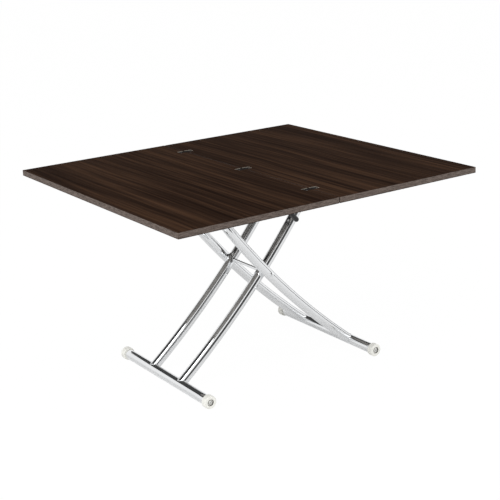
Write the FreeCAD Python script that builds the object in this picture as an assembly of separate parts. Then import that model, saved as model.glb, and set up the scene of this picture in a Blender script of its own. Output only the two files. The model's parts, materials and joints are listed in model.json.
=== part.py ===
import FreeCAD
import Part
import math
import os

# Convertible coffee and dining table: a folding top on a swivel, carried by a curved scissor stand.
# Millimetres. X runs across the seam of the top, Y along it, Z up. The origin is on the floor, under the
# middle of the open top. "Near" is the -Y side, "far" is the +Y side.

Vec = FreeCAD.Vector
along_x = Vec(1, 0, 0)
along_y = Vec(0, 1, 0)
along_z = Vec(0, 0, 1)
sides = {"near": -1, "far": 1}

# Clearances shared by all pieces
running_fit = 0.05
running_gap = 0.3
overrun = 1.0
same_point = 1e-6

# Table top
table_height = 725.0
leaf_width = 605.0
leaf_length = 1100.0
leaf_thickness = 20.0
seam_gap = 2.4
band_thickness = 2.0
band_edge_round = 0.8
band_corner_round = 3.0

# Fold hinges let into the top at the seam
hinge_spacing = 395.0
hinge_reach = 28.0
hinge_width = 26.0
hinge_thickness = 6.0
hinge_sink = 1.0
hinge_corner_round = 3.0
hinge_pin_radius = 1.5
hinge_pin_depth = 3.0
hinge_pin_inset = 1.0
fold_margin = 0.15
link_width = 8.0
link_round = 2.6
hinge_screw_inset = 8.0
hinge_screw_pitch = 14.0
hinge_screw_head_radius = 3.2
hinge_screw_head_height = 2.2
hinge_screw_shank_radius = 1.5
hinge_screw_length = 13.0

# Swivel between the stand and the fixed leaf
swivel_thickness = 3.0
swivel_radius = 85.0
swivel_bolt_radius = 6.0
swivel_bolt_grip = 12.0
swivel_head_radius = 11.0
swivel_head_height = 3.6
swivel_screw_circle = 66.0
swivel_screw_head_radius = 4.6
swivel_screw_head_height = 2.5
swivel_screw_shank_radius = 2.2
swivel_screw_length = 15.0
swivel_screw_count = 6

# Rails and deck plates under the top
deck_thickness = 3.0
deck_hole_radius = 14.0
rail_wall = 2.0
rail_depth = 22.0
rail_side_gap = 4.0
rail_end_margin = 12.0
rail_pivot_margin = 36.0
rail_roller_radius = 19.0
rail_roller_width = 12.0
rail_roller_side_gap = 2.5
swivel_deck_length = 200.0
pivot_deck_length = 70.0
lever_deck_length = 70.0
end_deck_length = 50.0
pad_radius = 12.0
pad_inset = 46.0

# Scissor legs
pivot_x = -2.5
foot_half_spread = 365.0
pivot_raise = 14.5
upper_half_spread = 248.0
lift_angle = 38.0
leg_radius = 18.0
leg_wall = 1.5
inner_leg_offset = 95.5
outer_leg_offset = 140.5
sleeve_proud = 1.5
shaft_radius = 6.0
pivot_sleeve_radius = 8.0
top_sleeve_radius = 19.0
spacer_radius = 14.0
spacer_round = 2.0
axle_cap_radius = 7.5
axle_cap_height = 3.5
axle_cap_round = 2.5
shaft_collar_radius = 9.0
clip_thickness = 1.5

# Foot bars and rollers
foot_bar_length = 540.0
foot_bar_radius = 18.5
foot_bar_wall = 1.5
plug_flange = 1.0
plug_length = 28.0
roller_radius = 23.5
roller_width = 24.0
roller_edge_round = 5.0
roller_recess_radius = 12.5
roller_recess_depth = 6.0
roller_dish_radius = 17.0
roller_dish_depth = 2.0
roller_bolt_radius = 4.0
roller_bolt_head_radius = 7.0
roller_bolt_head_height = 4.5
roller_bolt_socket_radius = 2.9
roller_bolt_socket_depth = 2.5

# Gas spring that pulls the two upper shafts together
spring_radius = 14.0
spring_wall = 2.5
spring_length = 353.0
spring_end_wall = 4.0
spring_gland = 15.0
spring_end_round = 3.0
spring_eye_radius = 12.0
spring_eye_width = 12.0
spring_neck = 8.0
spring_neck_radius = 5.5
spring_rod_radius = 5.0
spring_piston_width = 12.0
spring_piston_fit = 0.1

# Release lever and the valve that it works
lever_x = -20.0
lever_gap = 24.5
lever_slope = 49.6
lever_reach = 155.0
lever_shaft_radius = 5.0
lever_hub_radius = 9.0
lever_arm_width = 12.0
lever_arm_thickness = 5.0
grip_length = 78.0
grip_radius = 8.0
grip_tip_radius = 9.0
grip_cover = 1.2
hanger_inner_end = 37.0
hanger_thickness = 3.0
hanger_half_width = 14.0
finger_inner_end = 26.0
finger_width = 8.0
finger_half_depth = 5.0
finger_reach = 28.0
valve_gap = 15.0
valve_length = 33.0
valve_width = 54.0
valve_edge_offset = 40.0
valve_drop = 36.0
valve_chamfer = 2.0
button_radius = 4.0
button_drop = 22.0
button_depth = 20.0
button_play = 9.0
button_round = 1.0

# Places that follow from the sizes above
top_z = table_height
under_z = top_z - leaf_thickness
deck_top = under_z - swivel_thickness - running_gap
deck_bottom = deck_top - deck_thickness
rail_height = 2 * (rail_wall + rail_roller_radius + running_gap)
upper_z = deck_bottom - rail_height / 2
foot_z = roller_radius
pivot_height = (foot_z + upper_z) / 2 + pivot_raise
leaf_edge = seam_gap / 2
hinge_pin_offset = hinge_pin_depth ** 2 / seam_gap + seam_gap / 4 + fold_margin
hinge_pin_z = top_z - hinge_pin_depth
hinge_top_z = top_z - hinge_sink
hinge_floor_z = hinge_top_z - hinge_thickness
hinge_places = (-hinge_spacing, 0.0, hinge_spacing)

# The scissor: each leg turns by the lift angle, so the upper shafts part while the top comes down level
upper_rise = upper_z - pivot_height
upper_chord = math.hypot(upper_half_spread, upper_rise)
upper_slope = math.atan2(upper_rise, upper_half_spread)
lowered_reach = upper_chord * math.cos(upper_slope - math.radians(lift_angle))
shaft_travel = 2 * (lowered_reach - upper_half_spread)
inner_foot_x = pivot_x - foot_half_spread
outer_foot_x = pivot_x + foot_half_spread
inner_head_x = pivot_x + upper_half_spread
outer_head_x = pivot_x - upper_half_spread

# The swivel stands where a quarter turn brings the folded top over the middle of the lowered stand
open_centre = leaf_edge + leaf_width / 2
closed_centre = outer_head_x + lowered_reach
swivel_x = (open_centre + closed_centre) / 2
swivel_y = (open_centre - closed_centre) / 2

# Stations along Y, given for the far side
inner_sleeve_end = inner_leg_offset + leg_radius + sleeve_proud
outer_sleeve_end = outer_leg_offset + leg_radius + sleeve_proud
outer_sleeve_start = outer_leg_offset - leg_radius - sleeve_proud
rail_inner = outer_sleeve_end + rail_side_gap
rail_outer = rail_inner + rail_depth
rail_roller_start = rail_inner + rail_roller_side_gap
rail_roller_end = rail_roller_start + rail_roller_width
bar_end = foot_bar_length / 2
roller_start = bar_end + plug_flange + running_gap
roller_end = roller_start + roller_width
rail_start_x = outer_head_x - rail_pivot_margin
rail_end_x = inner_head_x + shaft_travel + rail_roller_radius + rail_end_margin
lever_y = rail_outer + lever_gap
button_z = upper_z - button_drop
button_y = finger_inner_end + finger_width / 2


def box(low, high):
    return Part.makeBox(high[0] - low[0], high[1] - low[1], high[2] - low[2], Vec(*low))


def rod_y(x, z, start, end, radius):
    return Part.makeCylinder(radius, abs(end - start), Vec(x, min(start, end), z), along_y)


def ring_y(x, z, start, end, radius, bore):
    return rod_y(x, z, start, end, radius).cut(rod_y(x, z, start, end, bore))


def rod_x(y, z, start, end, radius):
    return Part.makeCylinder(radius, end - start, Vec(start, y, z), along_x)


def rod_z(x, y, start, end, radius):
    return Part.makeCylinder(radius, end - start, Vec(x, y, start), along_z)


def revolved(edges, base, axis):
    return Part.Face(Part.Wire(edges)).revolve(base, axis, 360)


def path_edges(points):
    # Straight edges through the points, closed; a point given with a middle point makes an arc
    edges = []
    start = points[0][-1]
    for following in points[1:]:
        if len(following) == 2:
            edges.append(Part.Arc(start, following[0], following[1]).toShape())
        else:
            edges.append(Part.LineSegment(start, following[0]).toShape())
        start = following[-1]
    if not start.isEqual(points[0][-1], same_point):
        edges.append(Part.LineSegment(start, points[0][-1]).toShape())
    return edges


def quarter(centre, radius, from_way, to_way):
    # A rounded corner as (middle of the arc, end of the arc)
    middle = (from_way + to_way).normalize()
    return (centre + middle * radius, centre + to_way * radius)


def export(node, shapes):
    shape = shapes if isinstance(shapes, Part.Shape) else Part.makeCompound(shapes)
    shape.exportStep("parts/" + node + ".step")


def circle_centre(first, second, third):
    # Centre of the circle through three points of the XZ plane
    return Part.Arc(first, second, third).toShape().Curve.Center


def round_face(centre, axis, radius):
    return Part.Face(Part.Wire([Part.makeCircle(radius, centre, axis)]))


def curved_leg(y):
    # A leg from its foot at -X to its head at +X: one bend through foot, pivot and head
    foot = Vec(inner_foot_x, y, foot_z)
    middle = Vec(pivot_x, y, pivot_height)
    head = Vec(inner_head_x, y, upper_z)
    centre = circle_centre(foot, middle, head)
    turn = (foot - centre).cross(head - centre)
    sweep = math.degrees((foot - centre).getAngle(head - centre))
    along = turn.cross(foot - centre)
    bore = round_face(foot, along, leg_radius - leg_wall)
    section = round_face(foot, along, leg_radius).cut(bore)
    leg = section.Faces[0].revolve(centre, turn, sweep)
    reach = leg_radius + overrun
    ends = [
        rod_y(foot.x, foot.z, y - reach, y + reach, foot_bar_radius),
        rod_y(middle.x, middle.z, y - reach, y + reach, pivot_sleeve_radius),
        rod_y(head.x, head.z, y - reach, y + reach, top_sleeve_radius),
    ]
    return leg.cut(ends)


def across(shape, x):
    # The same shape on the other side of the upright plane at x
    return shape.mirror(Vec(x, 0, 0), along_x)


def sleeves(x, z, offset, radius, bore):
    half = leg_radius + sleeve_proud
    return [
        ring_y(x, z, side * offset - half, side * offset + half, radius, bore)
        for side in sides.values()
    ]


def foot_bar(x):
    bore = foot_bar_radius - foot_bar_wall
    return ring_y(x, foot_z, -bar_end, bar_end, foot_bar_radius, bore)


def bar_plug(x, side):
    bore = foot_bar_radius - foot_bar_wall
    flange = rod_y(x, foot_z, side * bar_end, side * (bar_end + plug_flange), foot_bar_radius)
    insert = rod_y(x, foot_z, side * bar_end, side * (bar_end - plug_length), bore)
    inside = side * (bar_end - plug_length)
    hole = rod_y(x, foot_z, inside, side * (bar_end + plug_flange), roller_bolt_radius)
    return flange.fuse(insert).removeSplitter().cut(hole)


def roller(x, side):
    # Turned nylon roller: rounded tread, dished inner face, deep recess for the bolt head
    out = along_y * side
    up = along_z
    base = Vec(x, side * roller_start, foot_z)
    bore = roller_bolt_radius + running_fit
    rim = roller_radius - roller_edge_round
    seat = roller_width - roller_recess_depth

    def at(radius, station):
        return base + up * radius + out * station

    profile = path_edges([
        (at(bore, 0),),
        (at(roller_bolt_head_radius, 0),),
        (at(roller_bolt_head_radius, roller_dish_depth),),
        (at(roller_dish_radius, roller_dish_depth),),
        (at(roller_dish_radius, 0),),
        (at(rim, 0),),
        quarter(at(rim, roller_edge_round), roller_edge_round, -out, up),
        (at(roller_radius, roller_width - roller_edge_round),),
        quarter(at(rim, roller_width - roller_edge_round), roller_edge_round, up, out),
        (at(roller_recess_radius, roller_width),),
        (at(roller_recess_radius, seat),),
        (at(bore, seat),),
    ])
    return revolved(profile, base, along_y)


def roller_bolt(x, side):
    seat = roller_end - roller_recess_depth + running_gap
    top = seat + roller_bolt_head_height
    shank = rod_y(x, foot_z, side * (bar_end - plug_length), side * seat, roller_bolt_radius)
    head = rod_y(x, foot_z, side * seat, side * top, roller_bolt_head_radius)
    socket_floor = top - roller_bolt_socket_depth
    socket = Part.Face(Part.makePolygon([
        Vec(
            x + roller_bolt_socket_radius * math.cos(math.radians(corner)),
            side * socket_floor,
            foot_z + roller_bolt_socket_radius * math.sin(math.radians(corner)),
        )
        for corner in range(0, 361, 60)
    ])).extrude(along_y * side * (roller_bolt_socket_depth + overrun))
    return shank.fuse(head).removeSplitter().cut(socket)


def build_frames():
    # Inner legs stand on the -X bar, outer legs on the +X bar
    for name, side in sides.items():
        export("inner_leg_" + name, curved_leg(side * inner_leg_offset))
        export("outer_leg_" + name, across(curved_leg(side * outer_leg_offset), pivot_x))
    for frame, x in (("inner", inner_foot_x), ("outer", outer_foot_x)):
        export(frame + "_foot_bar", foot_bar(x))
        export(frame + "_bar_plugs", [bar_plug(x, side) for side in sides.values()])
        export(frame + "_roller_bolts", [roller_bolt(x, side) for side in sides.values()])
        for name, side in sides.items():
            export(frame + "_roller_" + name, roller(x, side))
    turning = shaft_radius + running_fit
    pivot = (pivot_x, pivot_height)
    inner_head = (inner_head_x, upper_z)
    outer_head = (outer_head_x, upper_z)
    export("inner_pivot_sleeves", sleeves(*pivot, inner_leg_offset, pivot_sleeve_radius, turning))
    export("outer_pivot_sleeves", sleeves(*pivot, outer_leg_offset, pivot_sleeve_radius, shaft_radius))
    export("inner_top_sleeves", sleeves(*inner_head, inner_leg_offset, top_sleeve_radius, shaft_radius))
    export("outer_top_sleeves", sleeves(*outer_head, outer_leg_offset, top_sleeve_radius, turning))


def pivot_spacer(side):
    start = inner_sleeve_end + running_gap
    disc = rod_y(pivot_x, pivot_height, side * start, side * outer_sleeve_start, spacer_radius)
    rims = [edge for edge in disc.Edges if edge.BoundBox.YLength < overrun]
    bore = rod_y(pivot_x, pivot_height, side * start, side * outer_sleeve_start, shaft_radius)
    return disc.makeFillet(spacer_round, rims).cut(bore)


def axle_cap(side):
    face_y = side * (outer_sleeve_end + axle_cap_height)
    cap = rod_y(pivot_x, pivot_height, side * outer_sleeve_end, face_y, axle_cap_radius)
    rim = [edge for edge in cap.Edges if abs(edge.CenterOfMass.y - face_y) < running_fit]
    return cap.makeFillet(axle_cap_round, rim)


def build_pivot():
    export("pivot_axle", rod_y(pivot_x, pivot_height, -outer_sleeve_end, outer_sleeve_end, shaft_radius))
    export("pivot_spacers", [pivot_spacer(side) for side in sides.values()])
    export("pivot_axle_caps", [axle_cap(side) for side in sides.values()])


def build_upper_shafts():
    # The inner legs' shaft runs on rollers in the rails; the outer legs turn on a shaft fixed in the rails
    x = inner_head_x
    fixed_x = outer_head_x
    end = rail_roller_end + running_gap + clip_thickness
    export("inner_top_shaft", rod_y(x, upper_z, -end, end, shaft_radius))
    collars = []
    clips = []
    fixed_clips = []
    turning = shaft_radius + running_fit
    rim = shaft_collar_radius
    for name, side in sides.items():
        start = side * (rail_roller_start - running_gap)
        collars.append(ring_y(x, upper_z, side * inner_sleeve_end, start, rim, shaft_radius))
        clip_start = side * (end - clip_thickness)
        clips.append(ring_y(x, upper_z, clip_start, side * end, rim, shaft_radius))
        tread = [side * rail_roller_start, side * rail_roller_end]
        export("rail_roller_" + name, ring_y(x, upper_z, *tread, rail_roller_radius, turning))
        outside = side * (rail_outer + clip_thickness)
        fixed_clips.append(ring_y(fixed_x, upper_z, side * rail_outer, outside, rim, shaft_radius))
    export("inner_shaft_collars", collars)
    export("rail_roller_clips", clips)
    fixed_end = rail_outer + clip_thickness
    export("outer_top_shaft", rod_y(fixed_x, upper_z, -fixed_end, fixed_end, shaft_radius))
    export("outer_shaft_clips", fixed_clips)


def rail(side):
    # C-channel, open towards the legs
    low = min(side * rail_inner, side * rail_outer)
    high = max(side * rail_inner, side * rail_outer)
    bar = box((rail_start_x, low, deck_bottom - rail_height), (rail_end_x, high, deck_bottom))
    open_face = side * (rail_inner - overrun)
    web_face = side * (rail_outer - rail_wall)
    channel = box(
        (rail_start_x - overrun, min(open_face, web_face), deck_bottom - rail_height + rail_wall),
        (rail_end_x + overrun, max(open_face, web_face), deck_bottom - rail_wall),
    )
    hole_start = side * (rail_outer - rail_wall - overrun)
    hole_end = side * (rail_outer + overrun)
    holes = [rod_y(outer_head_x, upper_z, hole_start, hole_end, shaft_radius)]
    if side < 0:
        holes.append(rod_y(lever_x, upper_z, hole_start, hole_end, lever_shaft_radius + running_fit))
    return bar.cut([channel] + holes)


def deck(centre_x, length, holes):
    start = centre_x - length / 2
    plate = box((start, -rail_outer, deck_bottom), (start + length, rail_outer, deck_top))
    return plate.cut(holes)


def deck_hole(x, y):
    return rod_z(x, y, deck_bottom - overrun, deck_top + overrun, deck_hole_radius)


def build_rails():
    for name, side in sides.items():
        export("rail_" + name, rail(side))
    lighten = rail_inner / 2
    decks = {
        "pivot_deck": (outer_head_x, pivot_deck_length),
        "lever_deck": (lever_x, lever_deck_length),
        "end_deck": (rail_end_x - end_deck_length / 2, end_deck_length),
    }
    pads = []
    for name, (x, length) in decks.items():
        export(name, deck(x, length, [deck_hole(x, -lighten), deck_hole(x, lighten)]))
        for side in sides.values():
            y = side * (rail_outer - pad_inset)
            pads.append(rod_z(x, y, deck_top, under_z - running_gap, pad_radius))
    export("glide_pads", pads)
    turning = swivel_bolt_radius + running_fit
    bolt_hole = rod_z(swivel_x, swivel_y, deck_bottom - overrun, deck_top + overrun, turning)
    export("swivel_deck", deck(swivel_x, swivel_deck_length, [bolt_hole]))


def countersunk(x, y, face_z, way, head_radius, head_height, shank_radius, length):
    # Flat-headed screw whose head is flush with face_z and whose point goes the given way along Z
    down = along_z * way
    base = Vec(x, y, face_z)
    profile = path_edges([
        (base,),
        (base + along_x * head_radius,),
        (base + along_x * shank_radius + down * head_height,),
        (base + along_x * shank_radius + down * length,),
        (base + down * length,),
    ])
    return revolved(profile, base, along_z)


def swivel_screws():
    screws = []
    for number in range(swivel_screw_count):
        angle = 2 * math.pi * number / swivel_screw_count
        x = swivel_x + swivel_screw_circle * math.cos(angle)
        y = swivel_y + swivel_screw_circle * math.sin(angle)
        screws.append(countersunk(
            x, y, under_z - swivel_thickness, 1, swivel_screw_head_radius,
            swivel_screw_head_height, swivel_screw_shank_radius, swivel_screw_length,
        ))
    return screws


def swivel_bolt():
    head_top = deck_bottom - running_gap
    head = rod_z(swivel_x, swivel_y, head_top - swivel_head_height, head_top, swivel_head_radius)
    rim = [edge for edge in head.Edges if abs(edge.CenterOfMass.z - head.BoundBox.ZMin) < running_fit]
    head = head.makeFillet(swivel_head_height / 2, rim)
    shank = rod_z(swivel_x, swivel_y, head_top, under_z + swivel_bolt_grip, swivel_bolt_radius)
    return head.fuse(shank).removeSplitter()


def build_swivel():
    disc = rod_z(swivel_x, swivel_y, under_z - swivel_thickness, under_z, swivel_radius)
    export("swivel_disc", disc.cut([swivel_bolt()] + swivel_screws()))
    export("swivel_bolt", swivel_bolt())
    export("swivel_screws", swivel_screws())


def hinge_outline(y, low_z, high_z):
    # Plate of the fixed leaf: square at the seam, rounded at its far corners
    near = y - hinge_width / 2
    far = y + hinge_width / 2
    out = leaf_edge + hinge_reach
    bend = hinge_corner_round
    face = Part.Face(Part.Wire(path_edges([
        (Vec(leaf_edge, near, low_z),),
        (Vec(out - bend, near, low_z),),
        quarter(Vec(out - bend, near + bend, low_z), bend, -along_y, along_x),
        (Vec(out, far - bend, low_z),),
        quarter(Vec(out - bend, far - bend, low_z), bend, along_x, along_y),
        (Vec(leaf_edge, far, low_z),),
    ])))
    return face.extrude(along_z * (high_z - low_z))


def hinge_screws(y):
    x = leaf_edge + hinge_reach - hinge_screw_inset
    return [
        countersunk(
            x, y + way * hinge_screw_pitch / 2, hinge_top_z, -1, hinge_screw_head_radius,
            hinge_screw_head_height, hinge_screw_shank_radius, hinge_screw_length,
        )
        for way in (-1, 1)
    ]


def hinge_pin(y):
    half = hinge_width / 2 - hinge_pin_inset
    return rod_y(hinge_pin_offset, hinge_pin_z, y - half, y + half, hinge_pin_radius)


def hinge_plate(y):
    plate = hinge_outline(y, hinge_floor_z, hinge_top_z)
    half = link_width / 2 + running_gap
    slot_end = hinge_pin_offset + link_round + running_gap
    slot = box(
        (leaf_edge - overrun, y - half, hinge_floor_z - overrun),
        (slot_end, y + half, hinge_top_z + overrun),
    )
    return plate.cut([slot, hinge_pin(y)] + hinge_screws(y))


def hinge_link(y):
    # Rounded bar across the seam, turning on one pin in each leaf
    start = y - link_width / 2
    rise = along_z * link_round
    left = Vec(-hinge_pin_offset, start, hinge_pin_z)
    right = Vec(hinge_pin_offset, start, hinge_pin_z)
    face = Part.Face(Part.Wire(path_edges([
        (left + rise,),
        (right + rise,),
        (right + along_x * link_round, right - rise),
        (left - rise,),
        (left - along_x * link_round, left + rise),
    ])))
    bore = hinge_pin_radius + running_fit
    end = start + link_width + overrun
    holes = [rod_y(pin.x, pin.z, start - overrun, end, bore) for pin in (left, right)]
    return face.extrude(along_y * link_width).cut(holes)


def leaf_pieces():
    # Core board and edge band of the fixed leaf, with pockets for the hinges
    half = leaf_length / 2
    out = leaf_edge + leaf_width
    whole = box((leaf_edge, -half, under_z), (out, half, top_z))
    uprights = [edge for edge in whole.Edges if edge.BoundBox.ZLength > leaf_thickness / 2]
    whole = whole.makeFillet(band_corner_round, uprights)
    flats = [edge for edge in whole.Edges if edge.BoundBox.ZLength < leaf_thickness / 2]
    whole = whole.makeFillet(band_edge_round, flats)
    core = box(
        (leaf_edge + band_thickness, -half + band_thickness, under_z),
        (out - band_thickness, half - band_thickness, top_z),
    )
    pockets = [hinge_outline(y, hinge_floor_z, top_z + overrun) for y in hinge_places]
    screws = [screw for y in hinge_places for screw in hinge_screws(y)]
    return core.cut(pockets + screws), whole.cut([core] + pockets)


def build_top():
    core, band = leaf_pieces()
    pieces = {
        "edge_band": band,
        "hinge_plates": Part.makeCompound([hinge_plate(y) for y in hinge_places]),
        "hinge_pins": Part.makeCompound([hinge_pin(y) for y in hinge_places]),
        "hinge_screws": Part.makeCompound([screw for y in hinge_places for screw in hinge_screws(y)]),
    }
    for name, piece in pieces.items():
        export("fixed_" + name, piece)
        export("flap_" + name, across(piece, 0))
    export("fixed_leaf", core.cut([swivel_bolt()] + swivel_screws()))
    export("flap_leaf", across(core, 0))
    export("hinge_links", [hinge_link(y) for y in hinge_places])


def eye(x, bore):
    half = spring_eye_width / 2
    return ring_y(x, upper_z, -half, half, spring_eye_radius, bore)


def build_gas_spring():
    start = outer_head_x + spring_eye_radius + spring_neck
    end = start + spring_length
    tube = rod_x(0, upper_z, start, end, spring_radius)
    tube = tube.makeFillet(spring_end_round, [edge for edge in tube.Edges if edge.BoundBox.XLength < overrun])
    neck = rod_x(0, upper_z, outer_head_x, start + spring_end_wall / 2, spring_neck_radius)
    hole = rod_y(outer_head_x, upper_z, -spring_radius, spring_radius, shaft_radius)
    chamber = rod_x(0, upper_z, start + spring_end_wall, end - spring_gland, spring_radius - spring_wall)
    gland = rod_x(0, upper_z, end - spring_gland - overrun, end + overrun, spring_rod_radius + running_fit)
    body = tube.fuse([neck, eye(outer_head_x, shaft_radius)]).removeSplitter()
    export("gas_spring_cylinder", body.cut([chamber, gland, hole]))

    bore = spring_radius - spring_wall - spring_piston_fit
    piston_start = start + spring_end_wall + running_gap
    piston = rod_x(0, upper_z, piston_start, piston_start + spring_piston_width, bore)
    rod = rod_x(0, upper_z, piston_start, inner_head_x, spring_rod_radius)
    turning = shaft_radius + running_fit
    hole = rod_y(inner_head_x, upper_z, -spring_radius, spring_radius, turning)
    whole = rod.fuse([piston, eye(inner_head_x, turning)]).removeSplitter()
    export("gas_spring_rod", whole.cut(hole))


def slanted(shape):
    # Turn a shape drawn along +X at the lever's shaft down to the lever's slope
    shape.rotate(Vec(lever_x, 0, upper_z), along_y, lever_slope)
    return shape


def lever_arm_blank():
    half = lever_arm_width / 2
    low_y = -lever_y - lever_arm_thickness / 2
    bar = box(
        (lever_x, low_y, upper_z - half),
        (lever_x + lever_reach - grip_tip_radius, low_y + lever_arm_thickness, upper_z + half),
    )
    hub = rod_y(lever_x, upper_z, low_y, low_y + lever_arm_thickness, lever_hub_radius)
    return bar.fuse(hub).removeSplitter()


def lever_grip():
    # Moulded grip: tapers out to a rounded, slightly swollen tip
    tip = lever_x + lever_reach
    start = tip - grip_length
    neck = start + grip_cover
    swell = tip - grip_tip_radius
    base = Vec(start, -lever_y, upper_z)
    profile = path_edges([
        (base,),
        (base + along_z * (grip_radius - grip_cover),),
        (Vec(neck, -lever_y, upper_z + grip_radius),),
        (Vec(swell, -lever_y, upper_z + grip_tip_radius),),
        quarter(Vec(swell, -lever_y, upper_z), grip_tip_radius, along_z, along_x),
    ])
    return revolved(profile, base, along_x)


def lever_finger():
    start = -finger_inner_end - finger_width
    half = finger_half_depth
    hub = rod_y(lever_x, upper_z, start, -finger_inner_end, lever_hub_radius)
    bar = box((lever_x - half, start, upper_z - finger_reach), (lever_x + half, -finger_inner_end, upper_z))
    reach = finger_inner_end + finger_width
    return hub.fuse(bar).removeSplitter().cut(rod_y(lever_x, upper_z, -reach, 0, lever_shaft_radius))


def lever_hanger():
    outer = -hanger_inner_end - hanger_thickness
    half = hanger_half_width
    face = Part.Face(Part.Wire(path_edges([
        (Vec(lever_x - half, outer, deck_bottom),),
        (Vec(lever_x + half, outer, deck_bottom),),
        (Vec(lever_x + half, outer, upper_z),),
        (Vec(lever_x, outer, upper_z - half), Vec(lever_x - half, outer, upper_z)),
    ])))
    reach = hanger_inner_end + hanger_thickness + overrun
    return face.extrude(along_y * hanger_thickness).cut(
        rod_y(lever_x, upper_z, -reach, 0, lever_shaft_radius + running_fit)
    )


def build_release():
    shaft_end = lever_y + lever_arm_thickness / 2
    shaft = rod_y(lever_x, upper_z, -shaft_end, -finger_inner_end, lever_shaft_radius)
    arm = slanted(lever_arm_blank())
    grip = slanted(lever_grip())
    export("lever_shaft", shaft)
    export("lever_arm", arm.cut(shaft))
    export("lever_grip", grip.cut(arm))
    export("lever_finger", lever_finger())
    export("lever_hanger", lever_hanger())

    # The valve saddles the underside of the gas spring; its button faces the lever's finger
    start = lever_x + valve_gap
    block = box(
        (start, -valve_edge_offset, upper_z - valve_drop),
        (start + valve_length, valve_width - valve_edge_offset, upper_z),
    )
    block = block.makeChamfer(valve_chamfer, [edge for edge in block.Edges if edge.BoundBox.ZMax < upper_z])
    head = lever_x + finger_half_depth + running_gap
    bore_end = head + button_depth + button_play + overrun
    bore = rod_x(-button_y, button_z, start - overrun, bore_end, button_radius + running_fit)
    saddle = rod_x(0, upper_z, start - overrun, start + valve_length + overrun, spring_radius)
    export("spring_valve", block.cut([saddle, bore]))
    button = rod_x(-button_y, button_z, head, head + button_depth, button_radius)
    face = [edge for edge in button.Edges if edge.BoundBox.XMax < head + running_fit]
    export("valve_button", button.makeFillet(button_round, face))


os.makedirs("parts", exist_ok=True)
build_frames()
build_pivot()
build_upper_shafts()
build_rails()
build_swivel()
build_top()
build_gas_spring()
build_release()
print("upper shafts at", inner_head_x, outer_head_x, round(upper_z, 3), "travel", round(shaft_travel, 3))
print("swivel at", round(swivel_x, 3), round(swivel_y, 3), "hinge pins at", round(hinge_pin_offset, 3))
print("lever shaft at", lever_x, "button at", round(button_y, 3), round(button_z, 3))
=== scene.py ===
import json
import math

import bmesh
import bpy
from mathutils import Matrix, Vector


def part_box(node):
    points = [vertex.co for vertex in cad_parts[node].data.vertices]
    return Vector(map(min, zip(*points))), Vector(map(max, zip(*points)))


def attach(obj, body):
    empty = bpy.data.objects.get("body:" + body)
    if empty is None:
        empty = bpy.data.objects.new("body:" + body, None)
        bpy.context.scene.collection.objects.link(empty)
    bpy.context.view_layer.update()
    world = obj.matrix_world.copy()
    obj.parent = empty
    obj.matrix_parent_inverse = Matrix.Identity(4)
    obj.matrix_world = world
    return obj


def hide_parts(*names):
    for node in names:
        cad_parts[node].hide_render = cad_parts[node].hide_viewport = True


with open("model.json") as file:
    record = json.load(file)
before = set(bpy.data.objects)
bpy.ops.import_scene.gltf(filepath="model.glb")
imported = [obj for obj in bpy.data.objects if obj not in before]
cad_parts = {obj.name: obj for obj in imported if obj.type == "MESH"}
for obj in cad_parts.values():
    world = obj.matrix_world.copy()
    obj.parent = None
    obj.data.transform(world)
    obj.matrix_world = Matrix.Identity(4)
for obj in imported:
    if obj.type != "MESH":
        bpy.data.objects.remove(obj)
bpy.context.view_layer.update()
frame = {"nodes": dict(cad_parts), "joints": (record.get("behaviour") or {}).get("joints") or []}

joints = {joint["name"]: joint for joint in frame["joints"]}
nodes = frame["nodes"]
alongX, alongY, alongZ = Vector((1, 0, 0)), Vector((0, 1, 0)), Vector((0, 0, 1))
sides = {"Near": -1, "Far": 1}


# Small helpers for places in the frame
def jointPlace(name):
    return Vector(joints[name]["pos_m"])


def nodeMiddle(node):
    low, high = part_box(node)
    return (low + high) / 2


def nodeSize(node):
    low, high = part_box(node)
    return high - low


# Shader helpers: every pattern reads Object coordinates in metres
def newFinish(name, **settings):
    finish = bpy.data.materials.new(name)
    finish.use_nodes = True
    shader = finish.node_tree.nodes["Principled BSDF"]
    for socket, value in settings.items():
        shader.inputs[socket.replace("_", " ")].default_value = value
    return finish, finish.node_tree, shader


def addNode(tree, kind, links=None, values=None, **attributes):
    node = tree.nodes.new(kind)
    for name, value in attributes.items():
        setattr(node, name, value)
    for socket, value in (values or {}).items():
        node.inputs[socket].default_value = value
    for socket, source in (links or {}).items():
        tree.links.new(source, node.inputs[socket])
    return node


def objectPlace(tree, stretch=(1, 1, 1)):
    coords = addNode(tree, "ShaderNodeTexCoord")
    mapping = addNode(tree, "ShaderNodeMapping", {"Vector": coords.outputs["Object"]}, {"Scale": stretch})
    return mapping.outputs["Vector"]


def noise(tree, place, scale, detail=3.0, rough=0.5):
    values = {"Scale": scale, "Detail": detail, "Roughness": rough}
    return addNode(tree, "ShaderNodeTexNoise", {"Vector": place}, values).outputs["Fac"]


def ramp(tree, factor, stops):
    node = addNode(tree, "ShaderNodeValToRGB", {"Fac": factor})
    elements = node.color_ramp.elements
    while len(elements) < len(stops):
        elements.new(0.5)
    for element, (position, colour) in zip(elements, stops):
        element.position = position
        element.color = (*colour, 1.0)
    return node.outputs["Color"]


def spread(tree, factor, low, high):
    values = {"To Min": low, "To Max": high}
    return addNode(tree, "ShaderNodeMapRange", {"Value": factor}, values).outputs["Result"]


def maths(tree, operation, first, second):
    node = addNode(tree, "ShaderNodeMath", operation=operation)
    for socket, value in zip(node.inputs, (first, second)):
        if isinstance(value, (int, float)):
            socket.default_value = value
        else:
            tree.links.new(value, socket)
    return node.outputs["Value"]


def mixed(tree, factor, first, second):
    node = addNode(tree, "ShaderNodeMix", data_type="RGBA")
    tree.links.new(factor, node.inputs[0])
    for socket, value in ((node.inputs[6], first), (node.inputs[7], second)):
        if isinstance(value, tuple):
            socket.default_value = (*value, 1.0)
        else:
            tree.links.new(value, socket)
    return node.outputs[2]


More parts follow.
